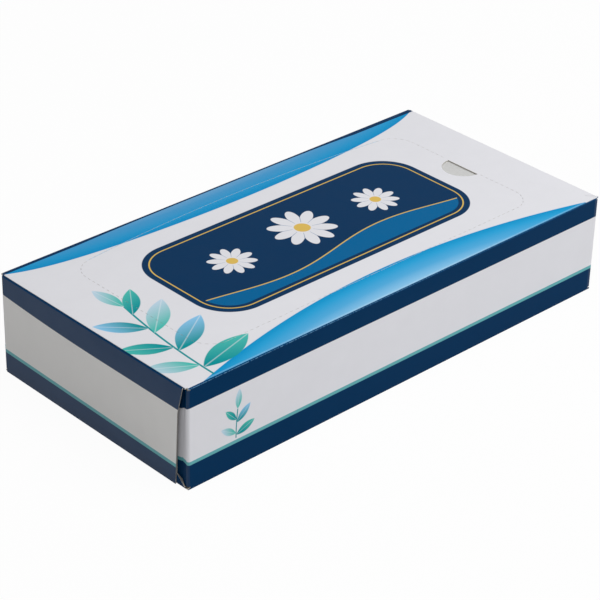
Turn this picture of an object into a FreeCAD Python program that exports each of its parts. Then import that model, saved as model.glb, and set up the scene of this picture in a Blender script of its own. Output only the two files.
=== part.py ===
# A flat carton of facial tissues, closed and still sealed by its perforated tear-out panel.
# X runs along the carton, Y across it and Z up. The origin is the middle of the base.
# The carton is one folded sheet of board: four walls and a seam flap round the tube, and at
# each end two dust flaps, an inner flap and an outer flap, folded in that order and glued.
import FreeCAD, Part
import math
import os

import Sketcher

from FreeCAD import Rotation, Vector

document = FreeCAD.newDocument("tissue_box")

# Driving dimensions, all in millimetres
SIZES = {
    "carton_length": 234,
    "carton_width": 114,
    "carton_height": 46,
    "board": 0.4,
    "glue": 0.1,
    "film": 0.08,
    "fold_radius": 0.4,
    "soft_fold_radius": 0.6,
    "cut_edge_lift": 0.3,
    "corner_slit": 0.5,
    "seam_flap": 14,
    "seam_glue_height": 8,
    "seam_glue_length": 206,
    "outer_flap_shoulder_inset": 5.2,
    "outer_flap_shoulder_drop": 13,
    "outer_flap_top_inset": 2.2,
    "outer_flap_foot_inset": 6.5,
    "outer_flap_full_inset": 1.1,
    "inner_flap_shortfall": 8,
    "inner_flap_heel_inset": 1.4,
    "inner_flap_heel_height": 5,
    "inner_flap_side_inset": 6.4,
    "inner_flap_taper": 1,
    "dust_flap_gap": 38,
    "dust_flap_chamfer": 6,
    "end_glue_height": 6,
    "end_glue_length": 88,
    "dust_glue_length": 22,
    "end_glue_low": 9,
    "end_glue_high": 26,
    "opening_end_margin": 24,
    "opening_side_margin": 15.6,
    "opening_shift": 0.2,
    "opening_bow": 5.6,
    "opening_corner_radius": 11,
    "perforation_pitch": 3,
    "perforation_cut": 1.5,
    "perforation_kerf": 0.15,
    "notch_radius": 8.9,
    "film_end_margin": 12,
    "film_side_margin": 12.6,
    "film_glue_border": 4.5,
    "film_glue_inset": 1,
    "slit_length": 152,
    "slit_width": 0.8,
    "slit_stop_diameter": 3,
    "stack_end_clearance": 8,
    "stack_side_clearance": 3.5,
    "stack_head_clearance": 3,
    "stack_bulge": 2.5,
    "lead_fold_step": 0.5,
    "lead_fold_offset": 2,
}

sheet = document.addObject("Spreadsheet::Sheet", "Sizes")
for row, (alias, size) in enumerate(SIZES.items(), start=1):
    sheet.set(f"A{row}", alias.replace("_", " "))
    sheet.set(f"B{row}", str(size))
    sheet.setAlias(f"B{row}", alias)
document.recompute()

# Planes and depths that several pieces share, as expressions on the sheet
HALF_LENGTH = "Sizes.carton_length / 2"
HALF_WIDTH = "Sizes.carton_width / 2"
HEIGHT = "Sizes.carton_height"
BOARD = "Sizes.board"
OUTER_FOLD = "(Sizes.fold_radius + Sizes.board)"
SOFT_OUTER_FOLD = "(Sizes.soft_fold_radius + Sizes.board)"
INNER_FLAP_DEPTH = "(Sizes.board + Sizes.glue)"
DUST_FLAP_DEPTH = "(2 * Sizes.board + 2 * Sizes.glue)"
SEAM_FLAP_DEPTH = "(Sizes.board + Sizes.glue)"
TUBE_HALF_LENGTH = f"({HALF_LENGTH} - {DUST_FLAP_DEPTH})"
WALL_HALF_LENGTH = f"({TUBE_HALF_LENGTH} - {SOFT_OUTER_FOLD})"
SLIT_HEIGHT = f"({OUTER_FOLD} + Sizes.corner_slit)"
INNER_FLAP_HEIGHT = f"({HEIGHT} - Sizes.inner_flap_shortfall)"
OPENING_HALF_LENGTH = f"({HALF_LENGTH} - Sizes.opening_end_margin)"
OPENING_HALF_WIDTH = f"({HALF_WIDTH} - Sizes.opening_side_margin)"
FILM_HALF_LENGTH = f"({OPENING_HALF_LENGTH} + Sizes.film_end_margin)"
FILM_HALF_WIDTH = f"({OPENING_HALF_WIDTH} + Sizes.film_side_margin)"
FILM_TOP = f"({HEIGHT} - {BOARD} - Sizes.glue)"

# A tool that cuts the top panel starts a board below it and ends a board above it
TOP_CUT_START = f"{HEIGHT} - 2 * {BOARD}"
TOP_CUT_DEPTH = f"3 * {BOARD}"


def size_of(expression):
    """The present value of an expression on the sheet."""
    found = sheet.evalExpression(expression)
    return float(getattr(found, "Value", found))


def new_body(name):
    return document.addObject("PartDesign::Body", name)


def attach(sketch, body, plane, offset=None):
    """Lays a sketch on one of its body's own origin planes, moved out along the plane's normal."""
    planes = {feature.Role: feature for feature in body.Origin.OriginFeatures}
    sketch.AttachmentSupport = (planes[plane], [""])
    sketch.MapMode = "FlatFace"
    if offset:
        sketch.setExpression("AttachmentOffset.Base.z", offset)


def new_sketch(body, name, plane, offset=None):
    sketch = body.newObject("Sketcher::SketchObject", name)
    attach(sketch, body, plane, offset)
    return sketch


def place_point(sketch, geometry, point, across, up):
    """Ties one point of a sketch to two expressions, measured from the sketch's origin."""
    for kind, expression in (("DistanceX", across), ("DistanceY", up)):
        rule = Sketcher.Constraint(kind, -1, 1, geometry, point, size_of(expression))
        sketch.setExpression(f"Constraints[{sketch.addConstraint(rule)}]", expression)


def bowed_edge(start, end, bow):
    """An arc from start to end that bows out by the given height on the right of its chord."""
    along = (end - start).normalize()
    outward = Vector(along.y, -along.x, 0)
    return Part.Arc(start, (start + end) / 2 + outward * bow, end)


def add_outline(sketch, corners, bows=None):
    """Adds a closed outline through corners given as pairs of expressions.

    bows gives, for the edge that starts at a corner, how far it bows outwards.
    """
    bows = bows or {}
    places = [Vector(size_of(across), size_of(up), 0) for across, up in corners]
    edges = []
    for index, start in enumerate(places):
        end = places[(index + 1) % len(places)]
        if index in bows:
            edges.append(sketch.addGeometry(bowed_edge(start, end, size_of(bows[index][0]))))
        else:
            edges.append(sketch.addGeometry(Part.LineSegment(start, end)))
    for index, edge in enumerate(edges):
        first, last = ends_of(sketch, edge, places[index])
        following = (index + 1) % len(edges)
        next_first, _ = ends_of(sketch, edges[following], places[following])
        sketch.addConstraint(Sketcher.Constraint("Coincident", edge, last, edges[following], next_first))
        place_point(sketch, edge, first, *corners[index])
    for index, (bow, half_chord) in bows.items():
        radius = f"(({half_chord})^2 + ({bow})^2) / (2 * ({bow}))"
        rule = Sketcher.Constraint("Radius", edges[index], size_of(radius))
        sketch.setExpression(f"Constraints[{sketch.addConstraint(rule)}]", radius)


def ends_of(sketch, edge, start):
    """The numbers of an edge's points, the one at start first."""
    if sketch.getPoint(edge, 1).distanceToPoint(start) < sketch.getPoint(edge, 2).distanceToPoint(start):
        return 1, 2
    return 2, 1


def add_circle(sketch, centre, radius):
    """Adds a circle whose centre and radius follow expressions."""
    place = Vector(size_of(centre[0]), size_of(centre[1]), 0)
    circle = sketch.addGeometry(Part.Circle(place, Vector(0, 0, 1), size_of(radius)))
    place_point(sketch, circle, 3, *centre)
    rule = Sketcher.Constraint("Radius", circle, size_of(radius))
    sketch.setExpression(f"Constraints[{sketch.addConstraint(rule)}]", radius)


def pad(body, sketch, length, symmetric=False):
    """Raises a sketch along its normal, or half each way."""
    raised = body.newObject("PartDesign::Pad", sketch.Name + "_pad")
    raised.Profile = sketch
    raised.SideType = "Symmetric" if symmetric else "One side"
    raised.setExpression("Length", length)
    document.recompute()
    return raised


def pocket_through(body, sketch, end=None):
    """Cuts a sketch through the whole body, both ways or only towards its left or right end."""
    before = body.Shape.Volume
    cut = body.newObject("PartDesign::Pocket", sketch.Name + "_pocket")
    cut.Profile = sketch
    cut.SideType = "One side" if end else "Symmetric"
    cut.Type = "ThroughAll"
    cut.Reversed = end == "right"
    document.recompute()
    if body.Shape.Volume >= before:
        raise ValueError(sketch.Name + " cuts nothing")
    return cut


def edges_along(shape, axis, places):
    """Names of the straight edges along an axis whose other two coordinates match one of places."""
    across = [k for k in range(3) if k != axis]
    found = []
    for number, edge in enumerate(shape.Edges, start=1):
        ends = [vertex.Point for vertex in edge.Vertexes]
        if len(ends) != 2 or abs(ends[0][axis] - ends[1][axis]) < 1e-6:
            continue
        for place in places:
            if all(abs(end[k] - value) < 1e-4 for end in ends for k, value in zip(across, place)):
                found.append(f"Edge{number}")
                break
    return found


def round_edges(body, name, axis, places, radius):
    """Rounds edges along an axis that pass through places, given as pairs of expressions."""
    spots = [tuple(size_of(part) for part in place) for place in places]
    solid = body.Tip
    names = edges_along(solid.Shape, axis, spots)
    if len(names) != len(places):
        raise ValueError(f"{name} found {len(names)} of {len(places)} edges")
    rounded = body.newObject("PartDesign::Fillet", name)
    rounded.Base = (solid, names)
    rounded.setExpression("Radius", radius)
    document.recompute()
    return rounded


def make_wall_tube():
    """The four walls of the tube and the seam flap, which stands up inside the back wall.

    The long folds run on to the ends, while the walls stop where their dust flaps turn in.
    """
    body = new_body("wall_tube")
    back_face = HALF_WIDTH
    back_inner = f"{HALF_WIDTH} - {BOARD}"
    front_face = f"-({HALF_WIDTH})"
    front_inner = f"-({HALF_WIDTH}) + {BOARD}"
    flap_outer = f"{HALF_WIDTH} - {SEAM_FLAP_DEPTH}"
    flap_inner = f"{HALF_WIDTH} - {SEAM_FLAP_DEPTH} - {BOARD}"
    roof = f"{HEIGHT} - {BOARD}"
    section = new_sketch(body, "wall_section", "YZ_Plane")
    corners = [
        (back_face, "Sizes.cut_edge_lift"),
        (back_face, HEIGHT),
        (front_face, HEIGHT),
        (front_face, "0"),
        (flap_outer, "0"),
        (flap_outer, "Sizes.seam_flap"),
        (flap_inner, "Sizes.seam_flap"),
        (flap_inner, BOARD),
        (front_inner, BOARD),
        (front_inner, roof),
        (back_inner, roof),
        (back_inner, "Sizes.cut_edge_lift"),
    ]
    add_outline(section, corners)
    pad(body, section, f"2 * {TUBE_HALF_LENGTH}", symmetric=True)
    round_edges(body, "wall_outer_folds", 0, [corners[k] for k in (1, 2, 3, 4)], OUTER_FOLD)
    round_edges(body, "wall_inner_folds", 0, [corners[k] for k in (7, 8, 9, 10)], "Sizes.fold_radius")
    wall_ends = new_sketch(body, "wall_ends", "XZ_Plane")
    low, high = OUTER_FOLD, f"{HEIGHT} - {OUTER_FOLD}"
    for sign in ("-1", "1"):
        near, far = f"{sign} * {WALL_HALF_LENGTH}", f"{sign} * Sizes.carton_length"
        add_outline(wall_ends, [(near, low), (far, low), (far, high), (near, high)])
    pocket_through(body, wall_ends)
    return body


def make_end_strip(name, depth, panel_z, flap_end_z, side_inset):
    """The top or bottom panel's full length with the flap folded from each of its ends.

    depth is how far the flaps stand inside the carton's ends, panel_z the panel's outer and
    inner levels, flap_end_z the level of the flaps' free edges.
    """
    body = new_body(name)
    outer_x = f"({HALF_LENGTH} - {depth})"
    inner_x = f"({HALF_LENGTH} - {depth} - {BOARD})"
    panel_outer, panel_inner = panel_z
    profile = new_sketch(body, name + "_profile", "XZ_Plane")
    corners = [
        (f"-{outer_x}", flap_end_z),
        (f"-{outer_x}", panel_outer),
        (outer_x, panel_outer),
        (outer_x, flap_end_z),
        (inner_x, flap_end_z),
        (inner_x, panel_inner),
        (f"-{inner_x}", panel_inner),
        (f"-{inner_x}", flap_end_z),
    ]
    add_outline(profile, corners)
    pad(body, profile, f"Sizes.carton_width - 2 * ({side_inset})", symmetric=True)
    round_edges(body, name + "_outer_folds", 1, [corners[1], corners[2]], OUTER_FOLD)
    round_edges(body, name + "_inner_folds", 1, [corners[5], corners[6]], "Sizes.fold_radius")
    return body


def trim_flap_side(body, name, side, edge, end=None):
    """Trims the end flaps' front or back edge to a line of inset and level pairs, from low to high."""
    sign = {"front": "-1", "back": "1"}[side]
    cut = new_sketch(body, f"{name}_{side}", "YZ_Plane")
    beyond = f"{sign} * Sizes.carton_width"
    corners = [(f"{sign} * ({HALF_WIDTH} - {inset})", level) for inset, level in edge]
    corners += [(beyond, edge[-1][1]), (beyond, edge[0][1])]
    add_outline(cut, corners)
    pocket_through(body, cut, end)


def make_top_strip():
    """The top panel with the two outer end flaps, glued down last.

    Each outer flap is cut back with a shoulder along one side and runs out nearly to the
    carton's side along the other, the left flap to the back and the right flap to the front.
    """
    levels = (HEIGHT, f"{HEIGHT} - {BOARD}")
    body = make_end_strip("top_strip", "0", levels, "Sizes.cut_edge_lift", OUTER_FOLD)
    cut_back = [
        ("Sizes.outer_flap_foot_inset", f"-{BOARD}"),
        ("Sizes.outer_flap_shoulder_inset", f"{HEIGHT} - Sizes.outer_flap_shoulder_drop"),
        ("Sizes.outer_flap_top_inset", f"{HEIGHT} - {BOARD}"),
    ]
    full = [("Sizes.outer_flap_full_inset", f"-{BOARD}"), ("Sizes.outer_flap_full_inset", f"{HEIGHT} - {BOARD}")]
    for end, shoulder_side, full_side in (("left", "front", "back"), ("right", "back", "front")):
        trim_flap_side(body, f"{end}_outer_flap", shoulder_side, cut_back, end)
        trim_flap_side(body, f"{end}_outer_flap", full_side, full, end)
    return body


def make_bottom_strip():
    """The bottom panel with the two inner end flaps."""
    side_inset = f"{SEAM_FLAP_DEPTH} + {OUTER_FOLD}"
    body = make_end_strip("bottom_strip", INNER_FLAP_DEPTH, ("0", BOARD), INNER_FLAP_HEIGHT, side_inset)
    edge = [
        ("Sizes.inner_flap_heel_inset", BOARD),
        ("Sizes.inner_flap_side_inset", "Sizes.inner_flap_heel_height"),
        ("Sizes.inner_flap_side_inset + Sizes.inner_flap_taper", HEIGHT),
    ]
    for side in ("front", "back"):
        trim_flap_side(body, "inner_flaps", side, edge)
    return body


def make_side_strip(name, sign):
    """A long wall's full length with the dust flap folded from each of its ends."""
    body = new_body(name)
    outer_x = f"({HALF_LENGTH} - {DUST_FLAP_DEPTH})"
    inner_x = f"({HALF_LENGTH} - {DUST_FLAP_DEPTH} - {BOARD})"
    wall = f"{sign} * ({HALF_WIDTH})"
    wall_inner = f"{sign} * ({HALF_WIDTH} - {BOARD})"
    free_end = f"{sign} * Sizes.dust_flap_gap / 2"
    profile = new_sketch(body, name + "_profile", "XY_Plane", SLIT_HEIGHT)
    corners = [
        (f"-{outer_x}", free_end),
        (f"-{outer_x}", wall),
        (outer_x, wall),
        (outer_x, free_end),
        (inner_x, free_end),
        (inner_x, wall_inner),
        (f"-{inner_x}", wall_inner),
        (f"-{inner_x}", free_end),
    ]
    add_outline(profile, corners)
    pad(body, profile, f"{HEIGHT} - 2 * {SLIT_HEIGHT}")
    round_edges(body, name + "_outer_folds", 2, [corners[1], corners[2]], SOFT_OUTER_FOLD)
    round_edges(body, name + "_inner_folds", 2, [corners[5], corners[6]], "Sizes.soft_fold_radius")
    reach = f"{sign} * (Sizes.dust_flap_gap / 2 + Sizes.dust_flap_chamfer)"
    levels = (
        ("low", SLIT_HEIGHT, f"{SLIT_HEIGHT} + Sizes.dust_flap_chamfer"),
        ("high", f"{HEIGHT} - {SLIT_HEIGHT}", f"{HEIGHT} - {SLIT_HEIGHT} - Sizes.dust_flap_chamfer"),
    )
    for level, corner_z, cut_z in levels:
        chamfer = new_sketch(body, f"{name}_{level}_chamfer", "YZ_Plane")
        add_outline(chamfer, [(free_end, corner_z), (reach, corner_z), (free_end, cut_z)])
        pocket_through(body, chamfer)
    return body


def rectangle_about(middle_y, half_length, half_width):
    """Corners of a rectangle that is centred on x = 0 and y = middle_y."""
    low, high = f"{middle_y} - {half_width}", f"{middle_y} + {half_width}"
    return [(f"-{half_length}", low), (half_length, low), (half_length, high), (f"-{half_length}", high)]


def make_opening_outline():
    """A plate of the tear-out panel's outline, bowed along the back, which carries the cut line."""
    body = new_body("opening_outline")
    outline = new_sketch(body, "opening_sketch", "XY_Plane", f"{HEIGHT} - {BOARD}")
    corners = rectangle_about("Sizes.opening_shift", OPENING_HALF_LENGTH, OPENING_HALF_WIDTH)
    add_outline(outline, corners, bows={2: ("Sizes.opening_bow", OPENING_HALF_LENGTH)})
    pad(body, outline, BOARD)
    round_edges(body, "opening_corners", 2, corners, "Sizes.opening_corner_radius")
    return body


def make_notch():
    """The half-moon finger notch, cut from the tear-out panel at its right-hand edge."""
    disc = document.addObject("Part::Cylinder", "notch_disc")
    disc.setExpression("Radius", "Sizes.notch_radius")
    disc.setExpression("Height", TOP_CUT_DEPTH)
    disc.setExpression("Placement.Base.x", OPENING_HALF_LENGTH)
    disc.setExpression("Placement.Base.y", "Sizes.opening_shift")
    disc.setExpression("Placement.Base.z", TOP_CUT_START)
    disc.Placement.Rotation = Rotation(Vector(0, 0, 1), 90)
    disc.Angle = 180
    return disc


def cut_spots(outline, pitch):
    """Places and directions at even steps along a closed wire, whose number fits it best."""
    count = round(outline.Length / pitch)
    points = outline.discretize(Number=count + 1)[:-1]
    for index, point in enumerate(points):
        along = points[(index + 1) % count] - points[index - 1]
        yield point, math.degrees(math.atan2(along.y, along.x))


def make_perforations(outline_body):
    """The row of short cuts along the tear-out panel's edge, left out at the finger notch."""
    length = size_of("Sizes.perforation_cut")
    kerf = size_of("Sizes.perforation_kerf")
    depth = size_of(TOP_CUT_DEPTH)
    base_z = size_of(TOP_CUT_START)
    notch = Vector(size_of(OPENING_HALF_LENGTH), size_of("Sizes.opening_shift"), 0)
    clear_of_notch = size_of("Sizes.notch_radius") + length
    plate = outline_body.Shape
    top_face = max(plate.Faces, key=lambda face: face.CenterOfMass.z)
    cuts = []
    for point, angle in cut_spots(top_face.OuterWire, size_of("Sizes.perforation_pitch")):
        flat = Vector(point.x, point.y, 0)
        if flat.distanceToPoint(notch) < clear_of_notch:
            continue
        cut = Part.makeBox(length, kerf, depth, Vector(-length / 2, -kerf / 2, 0))
        turn = Rotation(Vector(0, 0, 1), angle)
        cut.Placement = FreeCAD.Placement(flat + Vector(0, 0, base_z), turn)
        cuts.append(cut)
    feature = document.addObject("Part::Feature", "perforation_cuts")
    feature.Shape = Part.makeCompound(cuts)
    return feature


def fuse(name, pieces):
    joined = document.addObject("Part::MultiFuse", name)
    joined.Shapes = pieces
    joined.Refine = True
    document.recompute()
    return joined


def make_carton():
    """The whole folded blank, with the finger notch and the perforation cut through its top."""
    strips = [make_wall_tube(), make_top_strip(), make_bottom_strip()]
    strips += [make_side_strip("front_strip", "-1"), make_side_strip("back_strip", "1")]
    blank = fuse("folded_blank", strips)
    notched = document.addObject("Part::Cut", "notched_blank")
    notched.Base = blank
    notched.Tool = make_notch()
    carton = document.addObject("Part::Cut", "carton")
    carton.Base = notched
    carton.Tool = make_perforations(make_opening_outline())
    return carton


def make_window_film():
    """The clear film under the opening, with the slit that the tissues are drawn through."""
    body = new_body("window_film")
    border = new_sketch(body, "film_border", "XY_Plane", f"{FILM_TOP} - Sizes.film")
    add_outline(border, rectangle_about("Sizes.opening_shift", FILM_HALF_LENGTH, FILM_HALF_WIDTH))
    pad(body, border, "Sizes.film")
    slit = new_sketch(body, "film_slit", "XY_Plane")
    slit_end = "Sizes.slit_length / 2"
    add_outline(slit, rectangle_about("Sizes.opening_shift", slit_end, "Sizes.slit_width / 2"))
    pocket_through(body, slit)
    stops = new_sketch(body, "film_slit_stops", "XY_Plane")
    for sign in ("-1", "1"):
        add_circle(stops, (f"{sign} * {slit_end}", "Sizes.opening_shift"), "Sizes.slit_stop_diameter / 2")
    pocket_through(body, stops)
    return body


def make_tissue_stack():
    """The pile of interfolded tissues, its folded long edges bulging, the lead sheet lying on top."""
    body = new_body("tissue_stack")
    half_width = f"({HALF_WIDTH} - {SEAM_FLAP_DEPTH} - {BOARD} - Sizes.stack_side_clearance)"
    straight = f"({half_width} - Sizes.stack_bulge)"
    top = f"({FILM_TOP} - Sizes.film - Sizes.stack_head_clearance)"
    second = f"({top} - Sizes.lead_fold_step)"
    section = new_sketch(body, "stack_section", "YZ_Plane")
    corners = [
        (f"-{straight}", BOARD),
        (straight, BOARD),
        (straight, second),
        ("Sizes.lead_fold_offset", second),
        ("Sizes.lead_fold_offset", top),
        (f"-{straight}", top),
    ]
    bows = {
        1: ("Sizes.stack_bulge", f"({second} - {BOARD}) / 2"),
        5: ("Sizes.stack_bulge", f"({top} - {BOARD}) / 2"),
    }
    add_outline(section, corners, bows)
    end_depth = f"({DUST_FLAP_DEPTH} + {BOARD} + Sizes.stack_end_clearance)"
    pad(body, section, f"Sizes.carton_length - 2 * {end_depth}", symmetric=True)
    return body


def make_block(name, low, spans):
    """A box from its low corner and its three spans, all expressions."""
    block = document.addObject("Part::Box", name)
    for key, expression in zip(("x", "y", "z"), low):
        block.setExpression(f"Placement.Base.{key}", expression)
    for key, expression in zip(("Length", "Width", "Height"), spans):
        block.setExpression(key, expression)
    return block


def make_side_seam_glue():
    """The glue line that holds the seam flap to the back wall."""
    low_z = "(Sizes.seam_flap + Sizes.cut_edge_lift - Sizes.seam_glue_height) / 2"
    low = ("-Sizes.seam_glue_length / 2", f"{HALF_WIDTH} - {SEAM_FLAP_DEPTH}", low_z)
    spans = ("Sizes.seam_glue_length", "Sizes.glue", "Sizes.seam_glue_height")
    return make_block("side_seam_glue", low, spans)


def make_end_glue(name, sign):
    """The glue at one end: two lines under the outer flap and a patch on each dust flap."""
    line, patch = "Sizes.end_glue_length", "Sizes.dust_glue_length"
    low_z, high_z = "Sizes.end_glue_low", "Sizes.end_glue_high"
    under_outer_flap = BOARD
    under_inner_flap = f"(2 * {BOARD} + Sizes.glue)"
    patch_middle = f"(Sizes.dust_flap_gap / 2 + Sizes.dust_flap_chamfer + {patch} / 2)"
    strips = [
        ("low_line", under_outer_flap, "0", line, low_z),
        ("high_line", under_outer_flap, "0", line, high_z),
        ("front_patch", under_inner_flap, f"-{patch_middle}", patch, low_z),
        ("back_patch", under_inner_flap, patch_middle, patch, low_z),
    ]
    blocks = []
    for label, depth, middle_y, length, base_z in strips:
        near = f"{HALF_LENGTH} - {depth} - Sizes.glue" if sign > 0 else f"{depth} - {HALF_LENGTH}"
        low = (near, f"{middle_y} - {length} / 2", base_z)
        spans = ("Sizes.glue", length, "Sizes.end_glue_height")
        blocks.append(make_block(f"{name}_{label}", low, spans))
    return fuse(name, blocks)


def make_film_glue():
    """The glue frame that holds the film's border under the top panel."""
    outer_inset = "Sizes.film_glue_inset"
    inner_inset = "(Sizes.film_glue_inset + Sizes.film_glue_border)"
    blocks = []
    for label, inset in (("outer", outer_inset), ("inner", inner_inset)):
        half_length = f"({FILM_HALF_LENGTH} - {inset})"
        half_width = f"({FILM_HALF_WIDTH} - {inset})"
        low = (f"-{half_length}", f"Sizes.opening_shift - {half_width}", FILM_TOP)
        spans = (f"2 * {half_length}", f"2 * {half_width}", "Sizes.glue")
        blocks.append(make_block(f"film_glue_{label}", low, spans))
    frame = document.addObject("Part::Cut", "film_glue")
    frame.Base, frame.Tool = blocks
    return frame


def check_document():
    """Stops if any object of the document failed to recompute."""
    for item in document.Objects:
        if "Invalid" in item.State or "Error" in item.State:
            raise ValueError(f"{item.Label} failed: {item.State}")


def export(nodes):
    """Writes each sub-part to a file of its own, once all of them are sound."""
    for node in nodes:
        if node.Shape.isNull() or not node.Shape.isValid():
            raise ValueError(node.Label + " has no sound shape")
    os.makedirs("parts", exist_ok=True)
    for node in nodes:
        node.Shape.exportStep(f"parts/{node.Label}.step")
        print(node.Label, len(node.Shape.Solids), "solids", round(node.Shape.Volume, 2), "mm3")


nodes = [
    make_carton(),
    make_window_film(),
    make_film_glue(),
    make_tissue_stack(),
    make_side_seam_glue(),
    make_end_glue("left_end_glue", -1),
    make_end_glue("right_end_glue", 1),
]
document.recompute()
check_document()
export(nodes)
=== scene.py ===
# %% [markdown]
# # A flat carton of facial tissues
#
# The real object is a sheet of white-lined board, printed, die-cut, folded and glued round a
# pile of interfolded tissues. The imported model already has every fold, flap, cut and gap at
# its real size. This lesson gives the board its print, its grey inside and its raw edges,
# and it models the two soft things that a solid can't show: the wrinkled film under the
# finger notch and the pile with its hundred folded edges.
#
# Everything is in metres, in the model's own frame: X along the carton, Y across, Z up.

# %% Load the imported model
import math
import random

import bpy
from mathutils import Matrix, Vector, noise
from mathutils.bvhtree import BVHTree


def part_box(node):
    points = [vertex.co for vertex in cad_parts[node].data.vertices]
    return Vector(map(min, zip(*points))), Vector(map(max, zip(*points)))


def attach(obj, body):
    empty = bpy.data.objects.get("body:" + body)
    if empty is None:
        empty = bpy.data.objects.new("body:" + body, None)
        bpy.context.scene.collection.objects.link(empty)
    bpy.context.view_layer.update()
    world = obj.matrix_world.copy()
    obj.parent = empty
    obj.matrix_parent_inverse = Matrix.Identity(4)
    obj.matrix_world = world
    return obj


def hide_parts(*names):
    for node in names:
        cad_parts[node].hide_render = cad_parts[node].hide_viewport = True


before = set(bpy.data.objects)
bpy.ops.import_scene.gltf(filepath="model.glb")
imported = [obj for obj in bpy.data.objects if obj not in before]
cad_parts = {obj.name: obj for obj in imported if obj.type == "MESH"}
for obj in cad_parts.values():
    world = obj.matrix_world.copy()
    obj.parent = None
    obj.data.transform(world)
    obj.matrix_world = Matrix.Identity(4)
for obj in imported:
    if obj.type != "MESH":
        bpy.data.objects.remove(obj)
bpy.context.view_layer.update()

MM = 0.001
print("nodes:", ", ".join(sorted(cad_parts)))

# %% [markdown]
# The carton's own box gives the levels that the print refers to. A printer's layout is drawn
# in millimetres from the folds, so the print below is written in millimetres too.

# %% Measure the carton
carton_low, carton_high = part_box("carton")
LENGTH, WIDTH, HEIGHT = (carton_high - carton_low) / MM
BOARD = 0.4
print(f"carton {LENGTH:.1f} x {WIDTH:.1f} x {HEIGHT:.1f} mm")

# %% [markdown]
# ## A small language for finishes
#
# A finish is a sum over the surface: this ink where that outline holds, rougher there, raised
# here. Written as wires between boxes it is hard to follow, so one class wraps a node's output
# and lets Python's own signs add the Math nodes. A second one holds a node tree and makes every
# other node through a single method, and a third one adds what a material needs.

# %% Arithmetic on the surface
class Reading:
    """A number that changes over the surface: the output of a shader node."""

    def __init__(self, finish, socket):
        self.finish = finish
        self.socket = socket

    def __add__(self, other):
        return self.finish.maths("ADD", self, other)

    def __sub__(self, other):
        return self.finish.maths("SUBTRACT", self, other)

    def __rsub__(self, other):
        return self.finish.maths("SUBTRACT", other, self)

    def __mul__(self, other):
        return self.finish.maths("MULTIPLY", self, other)

    def __truediv__(self, other):
        return self.finish.maths("DIVIDE", self, other)

    def __abs__(self):
        return self.finish.maths("ABSOLUTE", self)

    def least(self, other):
        return self.finish.maths("MINIMUM", self, other)

    def most(self, other):
        return self.finish.maths("MAXIMUM", self, other)

    def positive(self, softness=0.12):
        """1 where the value is above 0 and 0 where it is below, with a soft step between."""
        return self.finish.maths("MULTIPLY_ADD", self, 1 / softness, 0.5, clamp=True)

    __radd__ = __add__
    __rmul__ = __mul__


# %% One way to make a node
class Wiring:
    """The node tree of a material or of the surround, whose nodes are all made here."""

    def __init__(self, tree):
        self.tree = tree

    def node(self, kind, settings, inputs, output=0):
        """Adds a node, sets it up, fills or links its sockets and returns one output."""
        made = self.tree.nodes.new(kind)
        for name, value in settings.items():
            if name == "stops":
                self.set_stops(made.color_ramp, value)
            else:
                setattr(made, name, value)
        for key, value in inputs.items():
            if isinstance(value, Reading):
                self.tree.links.new(value.socket, made.inputs[key])
            else:
                made.inputs[key].default_value = value
        return Reading(self, made.outputs[output])

    def maths(self, operation, *values, clamp=False):
        """One Math node on numbers or readings."""
        settings = {"operation": operation, "use_clamp": clamp}
        return self.node("ShaderNodeMath", settings, dict(enumerate(values)))

    @staticmethod
    def set_stops(ramp, stops):
        while len(ramp.elements) < len(stops):
            ramp.elements.new(0.5)
        for element, (place, colour) in zip(ramp.elements, stops):
            element.position = place
            element.color = colour


# %% A material and the nodes it needs
class Finish(Wiring):
    """A material: its shader, and a short name for each kind of node that the finishes use."""

    def __init__(self, name, **constants):
        self.material = bpy.data.materials.new(name)
        self.material.use_nodes = True
        super().__init__(self.material.node_tree)
        self.surface = self.tree.nodes["Principled BSDF"]
        for socket, value in constants.items():
            self.surface.inputs[socket.replace("_", " ")].default_value = value

    def place(self):
        """The point on the object, in millimetres, as one vector."""
        spot = self.node("ShaderNodeTexCoord", {}, {}, "Object")
        inputs = {"Vector": spot, "Scale": 1 / MM}
        return self.node("ShaderNodeVectorMath", {"operation": "SCALE"}, inputs)

    def split(self, vector):
        """The three numbers of a vector."""
        parts = self.node("ShaderNodeSeparateXYZ", {}, {"Vector": vector})
        outputs = parts.socket.node.outputs
        return [Reading(self, outputs[key]) for key in ("X", "Y", "Z")]

    def stretched(self, vector, x=1.0, y=1.0, z=1.0):
        """The vector with each axis multiplied, to draw a grain out along one of them."""
        inputs = {0: vector, 1: (x, y, z)}
        return self.node("ShaderNodeVectorMath", {"operation": "MULTIPLY"}, inputs)

    def cloud(self, vector, size, detail=2.0, roughness=0.5):
        """Soft noise between 0 and 1 whose lumps are about size millimetres across."""
        inputs = {
            "Vector": vector,
            "Scale": 1 / size,
            "Detail": detail,
            "Roughness": roughness,
        }
        return self.node("ShaderNodeTexNoise", {}, inputs)

    def blend(self, mask, under, over):
        """One colour over another, as far as the mask says."""
        inputs = {"Factor": mask, 6: under, 7: over}
        return self.node("ShaderNodeMix", {"data_type": "RGBA"}, inputs, 2)

    def shade(self, colour, share):
        """The colour at a share of its strength."""
        inputs = {"Vector": colour, "Scale": share}
        return self.node("ShaderNodeVectorMath", {"operation": "SCALE"}, inputs)

    def ramp(self, value, stops):
        """The colour at a value between 0 and 1, from stops of a place and a colour."""
        return self.node("ShaderNodeValToRGB", {"stops": stops}, {"Fac": value})

    def relief(self, height, strength, depth_mm):
        """A bump from a height between 0 and 1, depth_mm deep."""
        inputs = {"Strength": strength, "Distance": depth_mm * MM, "Height": height}
        return self.node("ShaderNodeBump", {}, inputs)

    def drive(self, **wires):
        """Links readings to the shader's own sockets."""
        for name, wire in wires.items():
            self.tree.links.new(wire.socket, self.surface.inputs[name.replace("_", " ")])


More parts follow.
